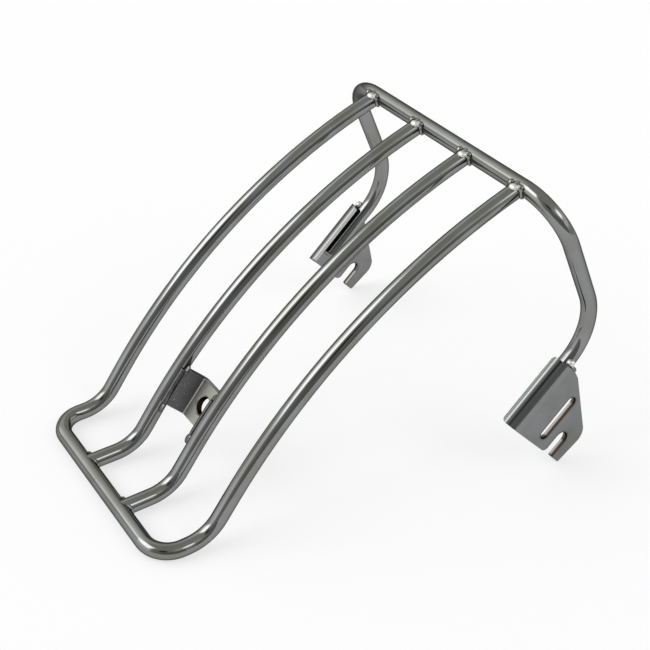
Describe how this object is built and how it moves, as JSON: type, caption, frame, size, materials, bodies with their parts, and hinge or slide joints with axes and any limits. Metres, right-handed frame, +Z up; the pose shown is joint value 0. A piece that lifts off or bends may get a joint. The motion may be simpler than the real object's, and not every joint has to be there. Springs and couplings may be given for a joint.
{
  "type": "motorcycle luggage rack",
  "caption": "Chromed tube luggage rack for a motorcycle's rear: crowned parallel rails between a front crossbar and a splayed rear hoop with slotted side plates and a folded seat tab.",
  "frame": {"origin": "middle of the footprint, on the surface that the rack stands on with its front crossbar and the tips of its two side plates", "axes": "+X across the rack towards its right side, +Y to the rear of the motorcycle, +Z up"},
  "size_m": [0.2968, 0.36, 0.237],
  "materials": {
    "tube_chrome": "polished chrome plate on steel tube",
    "plate_chrome": "satin chrome plate on pressed steel",
    "tab_chrome": "dull chrome plate on folded steel",
    "weld_chrome": "plated weld bead, smooth",
    "seam_metal": "plated weld bead, slightly rough and stained"
  },
  "bodies": {
    "root": {"outer_frame": "tube_chrome", "inner_rail_left": "tube_chrome", "inner_rail_right": "tube_chrome", "rear_hoop": "tube_chrome", "side_plate_left": "plate_chrome", "side_plate_right": "plate_chrome", "seat_tab": "tab_chrome", "weld_crossbar_left": "weld_chrome", "weld_crossbar_right": "weld_chrome", "weld_hoop_outer_left": "weld_chrome", "weld_hoop_inner_left": "weld_chrome", "weld_hoop_inner_right": "weld_chrome", "weld_hoop_outer_right": "weld_chrome", "weld_tab_left": "seam_metal", "weld_tab_right": "seam_metal", "weld_plate_left": "seam_metal", "weld_plate_right": "seam_metal"}
  },
  "joints": []
}
